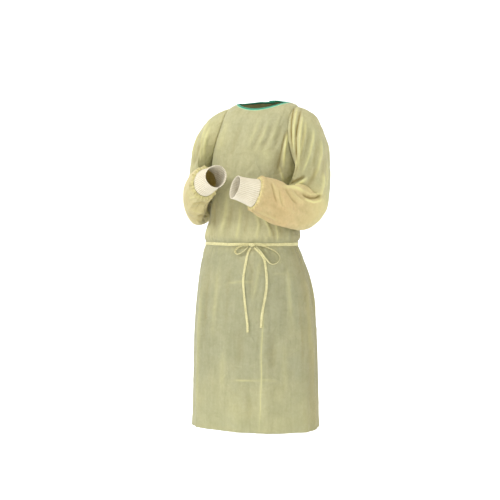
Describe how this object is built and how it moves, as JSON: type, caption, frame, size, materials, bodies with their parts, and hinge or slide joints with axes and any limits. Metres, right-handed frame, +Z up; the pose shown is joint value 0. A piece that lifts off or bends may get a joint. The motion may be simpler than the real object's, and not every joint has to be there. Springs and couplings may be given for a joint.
{
  "type": "isolation gown",
  "caption": "Knee-length isolation gown with full sleeves, knitted cuffs, a bound neck and a tie belt in a front bow, in its worn shape round an empty inside.",
  "frame": {"origin": "middle of the neck opening, where the wearer's neck and shoulders carry the gown", "axes": "+Z up, -Y towards the front of the gown, +X towards the wearer's left"},
  "size_m": [0.5064, 0.4334, 1.095],
  "materials": {
    "body_cloth": "matt, slightly sheer nonwoven",
    "sleeve_cloth": "matt, slightly sheer nonwoven",
    "knit": "matt rib knit",
    "green_binding": "matt folded strip",
    "tape": "matt folded nonwoven tape"
  },
  "bodies": {
    "root": {"front_panel": "body_cloth", "back_panel_left": "body_cloth", "back_panel_right": "body_cloth", "sleeve_left": "sleeve_cloth", "sleeve_right": "sleeve_cloth", "cuff_left": "knit", "cuff_right": "knit", "neck_binding": "green_binding", "belt_band": "tape", "bow_knot": "tape", "bow_loop_left": "tape", "bow_loop_right": "tape", "belt_end_left": "tape", "belt_end_right": "tape"}
  },
  "joints": []
}
